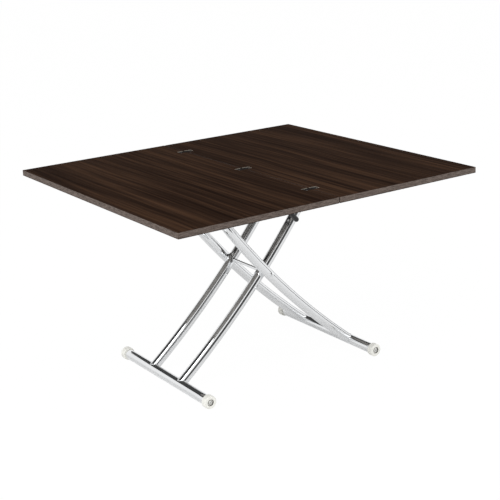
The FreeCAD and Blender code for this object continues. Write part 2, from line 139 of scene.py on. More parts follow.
def bump(tree, shader, height, strength, distance):
    node = addNode(tree, "ShaderNodeBump", {"Height": height}, {"Strength": strength, "Distance": distance})
    tree.links.new(node.outputs["Normal"], shader.inputs["Normal"])


# Dark brown board: streaks along the seam, and the same streaks in a paler tone below, because the
# flap's underside is the top of the folded table. The hinge pockets show raw chipboard.
boardFinish = {
    "dark": (0.0125, 0.0058, 0.0036),
    "middle": (0.0300, 0.0155, 0.0094),
    "light": (0.0640, 0.0325, 0.0180),
    "stops": (0.385, 0.50, 0.615),  # where the three tones stand in the grain
    "backDark": (0.20, 0.19, 0.18),
    "backLight": (0.40, 0.385, 0.365),
    "raw": (0.74, 0.67, 0.57),
    "rawDim": 0.6,  # how dark the darkest chips are
    "chips": {"scale": 900, "detail": 2.0},
    "skin": 0.0001,  # depth of the laminate
    "streaks": (  # how many across a metre, stretch along the seam, detail, weight in the grain
        (20, 0.036, 3.0, 0.38),
        (80, 0.018, 4.0, 0.40),
        (420, 0.008, 2.0, 0.22),
    ),
    "streakRough": 0.55,
    "wander": {"scale": 1.0, "detail": 2.0},  # slow bends of the streaks
    "wanderStretch": (2.0, 1.3, 0),
    "sway": 0.012,  # how far a bend goes to either side
    "rough": (0.50, 0.36),  # in the dark and in the light streaks
    "gloss": 0.0008,
    "bump": (0.12, 0.0002),  # strength and height
}


def boardLaminate():
    look = boardFinish
    finish, tree, shader = newFinish("dark board", Specular_IOR_Level=look["gloss"])
    wander = noise(tree, objectPlace(tree, look["wanderStretch"]), **look["wander"])
    sway = addNode(tree, "ShaderNodeCombineXYZ", {"X": spread(tree, wander, -look["sway"], look["sway"])})
    streaks, weighed = [], []
    for scale, run, detail, weight in look["streaks"]:
        swayed = addNode(tree, "ShaderNodeVectorMath", {0: objectPlace(tree), 1: sway.outputs["Vector"]})
        links = {"Vector": swayed.outputs["Vector"]}
        long = addNode(tree, "ShaderNodeMapping", links, {"Scale": (1, run, 0)})
        streaks.append(noise(tree, long.outputs["Vector"], scale, detail, look["streakRough"]))
        weighed.append(maths(tree, "MULTIPLY", streaks[-1], weight))
    broad, fine, hair = weighed
    grain = maths(tree, "ADD", maths(tree, "ADD", broad, fine), hair)
    tones = [look["dark"], look["middle"], look["light"]]
    face = ramp(tree, grain, list(zip(look["stops"], tones)))
    backStops = (look["stops"][0], look["stops"][-1])
    back = ramp(tree, grain, list(zip(backStops, (look["backDark"], look["backLight"]))))
    height = addNode(tree, "ShaderNodeSeparateXYZ", {"Vector": objectPlace(tree)}).outputs["Z"]
    low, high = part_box("fixed_leaf")
    underFace = maths(tree, "LESS_THAN", height, low.z + look["skin"])
    belowFace = maths(tree, "LESS_THAN", height, high.z - look["skin"])
    chips = noise(tree, objectPlace(tree), **look["chips"])
    raw = mixed(tree, chips, tuple(part * look["rawDim"] for part in look["raw"]), look["raw"])
    inside = mixed(tree, underFace, raw, back)
    colour = mixed(tree, belowFace, face, inside)
    tree.links.new(colour, shader.inputs["Base Color"])
    tree.links.new(spread(tree, grain, *look["rough"]), shader.inputs["Roughness"])
    bump(tree, shader, streaks[2], *look["bump"])
    return finish


# Edge band: paler and finely speckled outside, dark on its thin top edge and at the seam, with painted
# shade along its foot
bandFinish = {
    "dark": (0.050, 0.038, 0.032),
    "light": (0.208, 0.166, 0.145),
    "thickness": 0.0022,
    "corner": 0.0012,  # height of the rounded corner at the seam
    # height of the painted shade along the band's foot
    "shadeLine": 0.0022,
    "lines": {"scale": 45, "detail": 4.0, "rough": 0.65},
    "lineStretch": (1, 1, 10),
    "specks": {"scale": 420, "detail": 2.0, "rough": 0.7},
    "share": 0.5,  # of lines and of specks
    "stops": (0.40, 0.60),
    "rough": 0.5,
    "gloss": 0.05,
    "bump": (0.15, 0.0002),
}


def edgeBand():
    look = bandFinish
    finish, tree, shader = newFinish("edge band", Roughness=look["rough"], Specular_IOR_Level=look["gloss"])
    lines = noise(tree, objectPlace(tree, look["lineStretch"]), **look["lines"])
    specks = noise(tree, objectPlace(tree), **look["specks"])
    lineShare = maths(tree, "MULTIPLY", lines, look["share"])
    speckShare = maths(tree, "MULTIPLY", specks, look["share"])
    mix = maths(tree, "ADD", lineShare, speckShare)
    speckled = ramp(tree, mix, list(zip(look["stops"], (look["dark"], look["light"]))))
    place = addNode(tree, "ShaderNodeSeparateXYZ", {"Vector": objectPlace(tree)}).outputs
    low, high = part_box("fixed_edge_band")
    top = maths(tree, "GREATER_THAN", place["Z"], high.z - boardFinish["skin"])
    across = maths(tree, "ABSOLUTE", place["X"], 0)
    seam = maths(tree, "LESS_THAN", across, low.x + boardFinish["skin"])
    beside = maths(tree, "LESS_THAN", across, low.x + look["thickness"])
    raised = maths(tree, "GREATER_THAN", place["Z"], high.z - look["corner"])
    corner = maths(tree, "MULTIPLY", beside, raised)
    # Painted shade: the foot of the band gets the board's dark middle tone
    lower = maths(tree, "LESS_THAN", place["Z"], low.z + look["shadeLine"])
    dark = top
    for part in (seam, lower, corner):
        dark = maths(tree, "MAXIMUM", dark, part)
    colour = mixed(tree, dark, speckled, boardFinish["middle"])
    tree.links.new(colour, shader.inputs["Base Color"])
    bump(tree, shader, specks, *look["bump"])
    return finish


# Metals and plastics: one base colour, broken up by a fine mottle in colour, roughness and height
plainFinishes = {
    "chrome": {"colour": (0.86, 0.87, 0.88), "metal": 1.0, "rough": (0.035, 0.075), "scale": 9},
    "zinc": {
        "colour": (0.72, 0.72, 0.70), "metal": 1.0, "rough": (0.26, 0.42), "scale": 140, "height": 0.05,
    },
    "bronzed": {
        "colour": (0.013, 0.011, 0.010), "gloss": 0.01, "rough": (0.40, 0.56), "scale": 260, "height": 0.08,
    },
    "screwSteel": {
        "colour": (0.20, 0.19, 0.18), "metal": 1.0, "rough": (0.30, 0.46), "scale": 260, "height": 0.05,
    },
    "powderCoat": {"colour": (0.018, 0.018, 0.019), "rough": (0.42, 0.56), "scale": 700, "height": 0.2},
    "enamel": {"colour": (0.012, 0.012, 0.013), "rough": (0.14, 0.22), "scale": 60, "height": 0.03},
    "nylon": {"colour": (0.97, 0.965, 0.91), "rough": (0.36, 0.48), "scale": 180, "height": 0.04},
    "blackPlastic": {"colour": (0.014, 0.014, 0.015), "rough": (0.34, 0.50), "scale": 800, "height": 0.15},
}
plainShared = {  # for each of them, unless its own row says otherwise
    "metal": 0.0,
    "gloss": 0.5,
    "dim": 0.88,  # darkest tone of the mottle
    "bumpHeight": 0.0002,
}


def plainFinish(name):
    look = {**plainShared, **plainFinishes[name]}
    finish, tree, shader = newFinish(name, Metallic=look["metal"], Specular_IOR_Level=look["gloss"])
    mottle = noise(tree, objectPlace(tree), look["scale"])
    pale = look["colour"]
    dim = tuple(part * look["dim"] for part in pale)
    tree.links.new(mixed(tree, mottle, dim, pale), shader.inputs["Base Color"])
    tree.links.new(spread(tree, mottle, *look["rough"]), shader.inputs["Roughness"])
    if "height" in look:
        bump(tree, shader, mottle, look["height"], look["bumpHeight"])
    return finish


finishes = {name: plainFinish(name) for name in plainFinishes}
finishes["board"] = boardLaminate()
finishes["band"] = edgeBand()
print("finishes made:", len(finishes))


# Mesh helpers
meshShape = {
    "facets": 64,  # round a turned piece
    "roundSteps": 3,
    "longestRound": 0.45,  # a rounding takes no more than this share of a side
    "closeRing": 0.05,  # rings this far along a side keep the long faces' normals true
    "onAxis": 1e-7,  # a smaller radius is a point on the axis
    "sharp": math.radians(38),
}


def newPiece(name, data):
    piece = bpy.data.objects.new(name, data)
    bpy.context.scene.collection.objects.link(piece)
    return piece


def settle(piece, body, slot, *replaced):
    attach(piece, body)
    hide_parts(*replaced)
    return piece


def soften(profile, bevel, ring=False, steps=meshShape["roundSteps"]):
    longest, close = meshShape["longestRound"], meshShape["closeRing"]
    points = [Vector(point) for point in profile]
    rounded = []
    for index, corner in enumerate(points):
        if not ring and index in (0, len(points) - 1):
            rounded.append(corner)
            continue
        previous, following = points[index - 1], points[(index + 1) % len(points)]
        before, after = previous - corner, following - corner
        start = corner + before.normalized() * min(bevel, before.length * longest)
        end = corner + after.normalized() * min(bevel, after.length * longest)
        rounded.append(start.lerp(previous, close))
        for step in range(steps + 1):
            share = step / steps
            rounded.append(start.lerp(corner, share).lerp(corner.lerp(end, share), share))
        rounded.append(end.lerp(following, close))
    return rounded


def addTurn(mesh, base, axis, profile, ring=False):
    # profile: (distance along the axis, radius)
    across = axis.orthogonal().normalized()
    upward = axis.cross(across)
    facets = meshShape["facets"]
    angles = [2 * math.pi * step / facets for step in range(facets)]
    rounds = []
    for station, radius in profile:
        centre = base + axis * station
        if radius < meshShape["onAxis"]:
            rounds.append([mesh.verts.new(centre)] * facets)
        else:
            rounds.append([
                mesh.verts.new(centre + (across * math.cos(angle) + upward * math.sin(angle)) * radius)
                for angle in angles
            ])
    following = rounds[1:] + rounds[:1] if ring else rounds[1:]
    for lower, upper in zip(rounds, following):
        for step in range(facets):
            turn = (step + 1) % facets
            corners = [lower[step], lower[turn], upper[turn], upper[step]]
            corners = [corner for place, corner in enumerate(corners) if corner not in corners[:place]]
            if len(corners) > 2:
                mesh.faces.new(corners)


def rod(start, end, radius, bevel):
    return soften([(start, 0), (start, radius), (end, radius), (end, 0)], bevel)


def tube(start, end, radius, bore, bevel):
    return soften([(start, bore), (start, radius), (end, radius), (end, bore)], bevel, True)


def turned(name, finish, turns):
    # turns: (base, axis, profile, ring) for each turned solid of the piece
    work = bmesh.new()
    for base, axis, profile, ring in turns:
        addTurn(work, base, axis, profile, ring)
    bmesh.ops.recalc_face_normals(work, faces=work.faces)
    for face in work.faces:
        face.smooth = True
    mesh = bpy.data.meshes.new(name)
    work.to_mesh(mesh)
    work.free()
    mesh.set_sharp_from_angle(angle=meshShape["sharp"])
    mesh.materials.append(finish)
    return newPiece(name, mesh)


def newTree(name, inputs):
    tree = bpy.data.node_groups.new(name, "GeometryNodeTree")
    tree.interface.new_socket("Geometry", in_out="INPUT", socket_type="NodeSocketGeometry")
    for label, kind in inputs.items():
        tree.interface.new_socket(label, in_out="INPUT", socket_type="NodeSocket" + kind)
    tree.interface.new_socket("Geometry", in_out="OUTPUT", socket_type="NodeSocketGeometry")
    return tree, tree.nodes.new("NodeGroupInput").outputs, tree.nodes.new("NodeGroupOutput").inputs


def endTree(tree, given, result, geometry):
    smooth = addNode(tree, "GeometryNodeSetShadeSmooth", {"Geometry": geometry}, {"Shade Smooth": True})
    real = addNode(tree, "GeometryNodeRealizeInstances", {"Geometry": smooth.outputs["Geometry"]})
    links = {"Geometry": real.outputs["Geometry"], "Material": given["Finish"]}
    dressed = addNode(tree, "GeometryNodeSetMaterial", links)
    tree.links.new(dressed.outputs["Geometry"], result["Geometry"])


def grown(name, tree, mesh, values):
    # Runs a node tree once and keeps what it makes as a plain mesh
    piece = newPiece(name, mesh)
    modifier = piece.modifiers.new(tree.name, "NODES")
    modifier.node_group = tree
    for item in tree.interface.items_tree:
        if item.in_out == "INPUT" and item.name in values:
            modifier[item.identifier] = values[item.name]
    depsgraph = bpy.context.evaluated_depsgraph_get()
    made = bpy.data.meshes.new_from_object(piece.evaluated_get(depsgraph))
    piece.modifiers.clear()
    piece.data = made
    made.set_sharp_from_angle(angle=meshShape["sharp"])
    return piece


# Legs: a round tube bent in one arc through its foot, the pivot and its head
legShape = {
    "steps": 96,  # along the bend
    "facets": 64,  # round the tube
    "weld": 0.0014,  # radius of the weld bead
    "weldSteps": 96,
    "weldFacets": 8,
    "aheadStep": 0.001,  # short way along the arc that gives its direction
}


def bentTubeTree():
    inputs = {
        "Foot": "Vector", "Pivot": "Vector", "Head": "Vector", "Radius": "Float", "Steps": "Int",
        "Facets": "Int", "Finish": "Material",
    }
    tree, given, result = newTree("bent tube", inputs)
    links = {
        "Resolution": given["Steps"],
        "Start": given["Foot"], "Middle": given["Pivot"], "End": given["Head"],
    }
    arc = addNode(tree, "GeometryNodeCurveArc", links, mode="POINTS")
    links = {"Resolution": given["Facets"], "Radius": given["Radius"]}
    ring = addNode(tree, "GeometryNodeCurvePrimitiveCircle", links, mode="RADIUS")
    links = {"Curve": arc.outputs["Curve"], "Profile Curve": ring.outputs["Curve"]}
    sweep = addNode(tree, "GeometryNodeCurveToMesh", links, {"Fill Caps": True})
    endTree(tree, given, result, sweep.outputs["Mesh"])
    return tree


def arcCentre(first, second, third):
    # Centre of the circle through three points that share one Y
    work = Matrix((
        (second.x - first.x, second.z - first.z),
        (third.x - first.x, third.z - first.z),
    ))
    half = Vector((
        (second.x**2 - first.x**2 + second.z**2 - first.z**2) / 2,
        (third.x**2 - first.x**2 + third.z**2 - first.z**2) / 2,
    ))
    flat = work.inverted() @ half
    return Vector((flat.x, first.y, flat.y))


def setBack(point, centre, towards, length):
    # The point moved along the arc by a length, towards another point
    angle = length / (point - centre).length
    for turn in (angle, -angle):
        moved = centre + Matrix.Rotation(turn, 3, "Y") @ (point - centre)
        if (moved - towards).length < (point - towards).length:
            return moved


def weldRing(work, foot, centre, towards, legRadius, barRadius):
    # Bead along the line where the leg meets the round bar
    ahead = (setBack(foot, centre, towards, legShape["aheadStep"]) - foot).normalized()
    outward = (foot - centre).normalized()
    steps, facets = legShape["weldSteps"], legShape["weldFacets"]
    path = []
    for step in range(steps):
        angle = 2 * math.pi * step / steps
        rise = math.sin(angle) * legRadius
        lift = math.sqrt(barRadius**2 - rise**2)
        path.append(foot + alongY * math.cos(angle) * legRadius + outward * rise + ahead * lift)
    rounds = []
    for step, spot in enumerate(path):
        run = (path[(step + 1) % steps] - path[step - 1]).normalized()
        side = run.cross(ahead).normalized()
        upward = side.cross(run)
        rounds.append([
            work.verts.new(spot + (side * math.cos(turn) + upward * math.sin(turn)) * legShape["weld"])
            for turn in (2 * math.pi * facet / facets for facet in range(facets))
        ])
    for lower, upper in zip(rounds, rounds[1:] + rounds[:1]):
        for facet in range(facets):
            work.faces.new((lower[facet], lower[facet - 1], upper[facet - 1], upper[facet]))


def makeLegs():
    tree = bentTubeTree()
    barRadius = nodeSize("inner_foot_bar").z / 2
    sleeveRadius = nodeSize("inner_top_sleeves").z / 2
    ends = {"inner": ("lift", "spring_level"), "outer": ("outer_near_spin", "top_level")}
    for pair, (footJoint, headJoint) in ends.items():
        weldWork = bmesh.new()
        for name in sides:
            node = pair + "_leg_" + name.lower()
            level = Vector((0, nodeMiddle(node).y, 0))
            foot = jointPlace(footJoint) + level
            pivot = jointPlace("scissor") + level
            head = jointPlace(headJoint) + level
            centre = arcCentre(foot, pivot, head)
            legRadius = nodeSize(node).y / 2
            values = {
                "Foot": setBack(foot, centre, pivot, math.sqrt(barRadius**2 - legRadius**2)),
                "Pivot": pivot,
                "Head": setBack(head, centre, pivot, math.sqrt(sleeveRadius**2 - legRadius**2)),
                "Radius": legRadius,
                "Steps": legShape["steps"],
                "Facets": legShape["facets"],
                "Finish": finishes["chrome"],
            }
            leg = grown(pair + "Leg" + name, tree, bpy.data.meshes.new(node), values)
            settle(leg, pair + "_frame", "chrome", node)
            weldRing(weldWork, foot, centre, pivot, legRadius, barRadius)
            weldRing(weldWork, head, centre, pivot, legRadius, sleeveRadius)
        bmesh.ops.recalc_face_normals(weldWork, faces=weldWork.faces)
        for face in weldWork.faces:
            face.smooth = True
        mesh = bpy.data.meshes.new(pair + "Welds")
        weldWork.to_mesh(mesh)
        weldWork.free()
        mesh.materials.append(finishes["chrome"])
        welds = newPiece(pair + "Welds", mesh)
        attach(welds, pair + "_frame")
    print("legs bent:", 2 * len(ends))


makeLegs()


# Foot bars with rolled ends, rollers, the bolts in their recesses, and a dark cup lining each recess as
# painted shade
barShape = {"wall": 0.0015, "bevel": 0.0006}
rollerShape = {
    "edgeRound": 0.005,
    "edgeSteps": 6,
    "recess": (0.0125, 0.006),  # radius and depth for the bolt head
    "recessRound": 0.0006,
    "dish": (0.017, 0.002),  # radius and depth on the bar's side
    "dishRound": 0.0005,
    "hub": 0.007,
    "bore": 0.00405,
    "groove": (0.0004, 0.01),  # left by the mould: depth, and half its width as a share of the roller's
    "shadeCup": (0.0006, 0.0015),  # wall of the dark steel cup lining the recess as painted shade, and how far it stays below the face
    "shadeCupRound": 0.25,  # share of that wall
}
boltShape = {
    "head": 0.007,
    "height": 0.0045,
    "round": 0.0012,
    "facets": 48,
    "socket": 0.0029,
    "socketDepth": 0.0025,
    "corners": 6,
}


def makeFootBars():
    for pair in ("inner", "outer"):
        node = pair + "_foot_bar"
        middle, size = nodeMiddle(node), nodeSize(node)
        half, radius = size.y / 2, size.z / 2
        shape = tube(-half, half, radius, radius - barShape["wall"], barShape["bevel"])
        bar = turned(pair + "FootBar", finishes["chrome"], [(middle, alongY, shape, True)])
        settle(bar, pair + "_frame", "chrome", node)


def rollerProfile(width, radius):
    recessRadius, recessDepth = rollerShape["recess"]
    dishRadius, dishDepth = rollerShape["dish"]
    bend, bore, hub = rollerShape["edgeRound"], rollerShape["bore"], rollerShape["hub"]
    deep, half = rollerShape["groove"]
    inner = [(0, bore), (0, hub), (dishDepth, hub), (dishDepth, dishRadius), (0, dishRadius)]
    inner = soften(inner, rollerShape["dishRound"])
    outer = [
        (0, dishRadius), (0, radius),
        (width * (0.5 - half), radius), (width * 0.5, radius - deep), (width * (0.5 + half), radius),
        (width, radius), (width, recessRadius),
    ]
    outer = soften(outer, bend, steps=rollerShape["edgeSteps"])
    seat = width - recessDepth
    recess = [(width, radius - bend), (width, recessRadius), (seat, recessRadius), (seat, bore)]
    recess = soften(recess, rollerShape["recessRound"])
    return inner[:-1] + outer[:-1] + recess[1:]


def makeRollers():
    bodies = {
        "inner_roller_near": "stand_roller", "inner_roller_far": "inner_far_roller",
        "outer_roller_near": "outer_near_roller", "outer_roller_far": "outer_far_roller",
    }
    for pair in ("inner", "outer"):
        for name, side in sides.items():
            node = pair + "_roller_" + name.lower()
            middle, size = nodeMiddle(node), nodeSize(node)
            axis = alongY * side
            profile = rollerProfile(size.y, size.z / 2)
            base = middle - axis * size.y / 2
            roller = turned(pair + "Roller" + name, finishes["nylon"], [(base, axis, profile, True)])
            settle(roller, bodies[node], "nylon", node)
            # Dark steel cup lining the recess wall: painted shade inside the recess
            radius, depth = rollerShape["recess"]
            wall, below = rollerShape["shadeCup"]
            start, end = size.y - depth, size.y - below
            shape = tube(start, end, radius, radius - wall, wall * rollerShape["shadeCupRound"])
            shadeCup = turned(pair + "RollerShadeCup" + name, finishes["screwSteel"], [(base, axis, shape, True)])
            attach(shadeCup, bodies[node])


def setOnPoints(tree, given, solid):
    # One copy of the solid on each point, turned to the point's aim
    aim = addNode(tree, "GeometryNodeInputNamedAttribute", values={"Name": "aim"}, data_type="FLOAT_VECTOR")
    links = {"Vector": aim.outputs["Attribute"]}
    turn = addNode(tree, "FunctionNodeAlignRotationToVector", links, axis="Z")
    links = {"Points": given["Geometry"], "Instance": solid, "Rotation": turn.outputs["Rotation"]}
    return addNode(tree, "GeometryNodeInstanceOnPoints", links).outputs["Instances"]


def boltTree():
    inputs = {
        "Head Radius": "Float", "Head Height": "Float", "Rim": "Float", "Socket Radius": "Float",
        "Socket Depth": "Float", "Corners": "Int", "Finish": "Material",
    }
    tree, given, result = newTree("socket bolts", inputs)
    links = {"Radius": given["Head Radius"], "Depth": given["Head Height"]}
    head = addNode(tree, "GeometryNodeMeshCylinder", links, {"Vertices": boltShape["facets"]})
    top = addNode(tree, "ShaderNodeMath", {0: given["Head Radius"], 1: given["Rim"]}, operation="SUBTRACT")
    links = {
        "Radius Bottom": given["Head Radius"], "Radius Top": top.outputs["Value"], "Depth": given["Rim"],
    }
    rim = addNode(tree, "GeometryNodeMeshCone", links, {"Vertices": boltShape["facets"]})
    rise = addNode(tree, "ShaderNodeMath", {0: given["Head Height"]}, {1: 2.0}, operation="DIVIDE")
    lift = addNode(tree, "ShaderNodeCombineXYZ", {"Z": rise.outputs["Value"]})
    links = {"Geometry": rim.outputs["Mesh"], "Translation": lift.outputs["Vector"]}
    raised = addNode(tree, "GeometryNodeTransform", links)
    solid = addNode(tree, "GeometryNodeMeshBoolean", operation="UNION", solver="EXACT")
    tree.links.new(head.outputs["Mesh"], solid.inputs["Mesh 2"])
    tree.links.new(raised.outputs["Geometry"], solid.inputs["Mesh 2"])
    links = {"Vertices": given["Corners"], "Radius": given["Socket Radius"], "Depth": given["Socket Depth"]}
    key = addNode(tree, "GeometryNodeMeshCylinder", links)
    full = addNode(tree, "ShaderNodeMath", {0: rise.outputs["Value"], 1: given["Rim"]}, operation="ADD")
    sink = addNode(tree, "ShaderNodeCombineXYZ", {"Z": full.outputs["Value"]})
    links = {"Geometry": key.outputs["Mesh"], "Translation": sink.outputs["Vector"]}
    socket = addNode(tree, "GeometryNodeTransform", links)
    links = {"Mesh 1": solid.outputs["Mesh"], "Mesh 2": socket.outputs["Geometry"]}
    cut = addNode(tree, "GeometryNodeMeshBoolean", links, operation="DIFFERENCE", solver="EXACT")
    endTree(tree, given, result, setOnPoints(tree, given, cut.outputs["Mesh"]))
    return tree


def aimedPoints(name, points):
    mesh = bpy.data.meshes.new(name)
    mesh.from_pydata([tuple(place) for place, aim in points], [], [])
    aims = mesh.attributes.new("aim", "FLOAT_VECTOR", "POINT")
    for spot, (place, aim) in zip(aims.data, points):
        spot.vector = aim
    return mesh


def makeRollerBolts():
    tree = boltTree()
    for pair, joint in (("inner", "lift"), ("outer", "outer_near_spin")):
        node = pair + "_roller_bolts"
        low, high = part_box(node)
        height, rim = boltShape["height"], boltShape["round"]
        drop = (height - rim) / 2 + rim
        points = []
        for side, face in ((-1, low.y), (1, high.y)):
            place = jointPlace(joint)
            place.y = face - side * drop
            points.append((place, alongY * side))
        values = {
            "Head Radius": boltShape["head"], "Head Height": height - rim, "Rim": rim,
            "Socket Radius": boltShape["socket"], "Socket Depth": 2 * boltShape["socketDepth"],
            "Corners": boltShape["corners"], "Finish": finishes["zinc"],
        }
        heads = grown(pair + "RollerBolts", tree, aimedPoints(node, points), values)
        settle(heads, pair + "_frame", "zinc", node)


makeFootBars()
makeRollers()
makeRollerBolts()
print("foot bars, rollers and bolts made")


# Crossing of the legs: axle, sleeves, spacers and end caps
pivotShape = {
    "bevel": 0.0008,
    "spacerRound": 0.002,
    "spacerGap": 0.0003,  # running gap at the inner sleeve
    "shaft": 0.006,
    "bore": 0.00605,
    "capRim": 0.0010,  # straight part of the cap below its dome
    "domeSteps": 12,
    "socket": (0.0028, 0.0022),  # radius and depth in the middle of the cap
}


def pairedTurns(centre, start, end, radius, bore, bevel):
    # The same ring on the near and the far side, from start to end along Y
    shape = tube(start, end, radius, bore, bevel)
    return [(Vector((centre.x, 0, centre.z)), alongY * side, shape, True) for side in sides.values()]


def sleeveTurns(centre, leg, node, bore):
    low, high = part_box(leg)
    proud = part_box(node)[1].y - high.y
    radius = nodeSize(node).z / 2
    return pairedTurns(centre, low.y - proud, high.y + proud, radius, bore, pivotShape["bevel"])


def makePivot():
    pivot = jointPlace("scissor")
    shaft, bevel = pivotShape["shaft"], pivotShape["bevel"]
    heads = {"inner": jointPlace("spring_level"), "outer": jointPlace("top_level")}
    for pair, head in heads.items():
        leg = pair + "_leg_far"
        for place, centre in (("pivot", pivot), ("top", head)):
            node = pair + "_" + place + "_sleeves"
            turns = sleeveTurns(centre, leg, node, pivotShape["bore"])
            piece = turned(pair + place.capitalize() + "Sleeves", finishes["chrome"], turns)
            settle(piece, pair + "_frame", "chrome", node)
    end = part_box("pivot_axle")[1].y
    axle = turned("pivotAxle", finishes["chrome"], [(pivot, alongY, rod(-end, end, shaft, bevel), False)])
    settle(axle, "outer_frame", "chrome", "pivot_axle")
    start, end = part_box("inner_pivot_sleeves")[1].y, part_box("pivot_spacers")[1].y
    radius = nodeSize("pivot_spacers").z / 2
    start += pivotShape["spacerGap"]
    turns = pairedTurns(pivot, start, end, radius, shaft, pivotShape["spacerRound"])
    settle(turned("pivotSpacers", finishes["chrome"], turns), "outer_frame", "chrome", "pivot_spacers")
    start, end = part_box("outer_pivot_sleeves")[1].y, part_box("pivot_axle_caps")[1].y
    radius = nodeSize("pivot_axle_caps").z / 2
    socket, depth = pivotShape["socket"]
    low, steps = start + pivotShape["capRim"], pivotShape["domeSteps"]
    shape = [Vector((start, 0)), Vector((start, radius)), Vector((low, radius))]
    for step in range(1, steps + 1):  # dome from the rim up to the socket's edge
        share = step / steps
        reach = radius + (socket - radius) * share
        shape.append(Vector((low + (end - low) * math.sqrt(1 - (1 - share) ** 2), reach)))
    shape += [Vector((end - depth, socket)), Vector((end - depth, 0))]
    turns = [(pivot, alongY * side, shape, False) for side in sides.values()]
    caps = turned("pivotAxleCaps", finishes["chrome"], turns)
    settle(caps, "outer_frame", "chrome", "pivot_axle_caps")


makePivot()
print("pivot made")


# Upper shafts, collars and the rollers in the rails
shaftShape = {"bevel": 0.0008, "collarBore": 0.006, "rollerBore": 0.00605, "rollerRound": 0.0012}


def makeUpperShafts():
    bevel = shaftShape["bevel"]
    for node, joint, body in (
        ("inner_top_shaft", "spring_level", "inner_frame"), ("outer_top_shaft", "top_level", "sub_frame"),
    ):
        half, radius = nodeSize(node).y / 2, nodeSize(node).z / 2
        turns = [(jointPlace(joint), alongY, rod(-half, half, radius, bevel), False)]
        name = node.split("_")[0] + "TopShaft"
        settle(turned(name, finishes["zinc"], turns), body, "zinc", node)
    head = jointPlace("spring_level")
    start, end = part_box("inner_top_sleeves")[1].y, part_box("inner_shaft_collars")[1].y
    radius = nodeSize("inner_shaft_collars").z / 2
    turns = pairedTurns(head, start, end, radius, shaftShape["collarBore"], bevel)
    collars = turned("shaftCollars", finishes["blackPlastic"], turns)
    settle(collars, "inner_frame", "black_plastic", "inner_shaft_collars")
    for name in sides:
        node = "rail_roller_" + name.lower()
        half, radius = nodeSize(node).y / 2, nodeSize(node).z / 2
        shape = tube(-half, half, radius, shaftShape["rollerBore"], shaftShape["rollerRound"])
        roller = turned("railRoller" + name, finishes["nylon"], [(nodeMiddle(node), alongY, shape, True)])
        settle(roller, name.lower() + "_rail_roller", "nylon", node)


makeUpperShafts()
print("upper shafts made")


# Gas spring: enamelled cylinder with a rolled-in end, polished rod, an eye at each end
springShape = {
    "length": 0.353,
    "endRound": 0.003,
    "groove": (0.018, 0.003, 0.0012),  # rolled in round the gland: from the end, half its width, depth
    "mouth": (1.05, 0.002),  # hollow round the rod: share of the rod's radius, depth
    "rod": 0.005,
    "rodRound": 0.0005,
    "neck": 0.0055,
    "neckLap": (0.002, 0.001),  # starts this far from the eye's bore, goes this far into the cylinder
    "eye": 0.012,
    "eyeBore": 0.00605,
    "eyeRound": 0.0015,
}


def makeGasSpring():
    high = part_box("gas_spring_cylinder")[1]
    fixed, sliding = jointPlace("top_level"), jointPlace("spring_level")
    radius = nodeSize("gas_spring_cylinder").z / 2
    end = high.x - fixed.x
    start = end - springShape["length"]
    back, half, depth = springShape["groove"]
    mouthShare, mouthDepth = springShape["mouth"]
    shell = [
        (start, 0), (start, radius),
        (end - back - half, radius), (end - back, radius - depth), (end - back + half, radius),
        (end, radius), (end, springShape["rod"] * mouthShare), (end - mouthDepth, 0),
    ]
    halfEye = min(nodeSize("gas_spring_rod").y, springShape["eye"]) / 2
    eye = tube(-halfEye, halfEye, springShape["eye"], springShape["eyeBore"], springShape["eyeRound"])
    fromBore, intoShell = springShape["neckLap"]
    neckStart = springShape["eyeBore"] + fromBore
    neck = rod(neckStart, start + intoShell, springShape["neck"], springShape["rodRound"])
    turns = [
        (fixed, alongX, soften(shell, springShape["endRound"]), False),
        (fixed, alongX, neck, False),
        (fixed, alongY, eye, True),
    ]
    cylinder = turned("springCylinder", finishes["enamel"], turns)
    settle(cylinder, "sub_frame", "spring_paint", "gas_spring_cylinder")
    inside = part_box("gas_spring_rod")[0].x - sliding.x
    turns = [
        (sliding, alongX, rod(inside, -neckStart, springShape["rod"], springShape["rodRound"]), False),
        (sliding, alongY, eye, True),
    ]
    settle(turned("springRod", finishes["chrome"], turns), "spring_rod", "chrome", "gas_spring_rod")


makeGasSpring()
print("gas spring made")


# Release lever: cross shaft and moulded grip
leverShape = {
    "shaftRound": 0.0006,
    "slope": 49.6,  # degrees below level
    "reach": 0.155,
    "gripLength": 0.078,
    "gripRadius": 0.008,
    "gripRound": 0.001,
    "neck": (0.0068, 0.0015),  # radius where the grip starts, and the length of its cone
    "ring": (0.12, 0.14, 0.17),  # end of the ring, start and end of the waist, as shares of the grip
    "waist": 0.9,  # share of the grip's radius
    "tip": 0.009,
    "tipSteps": 8,
}


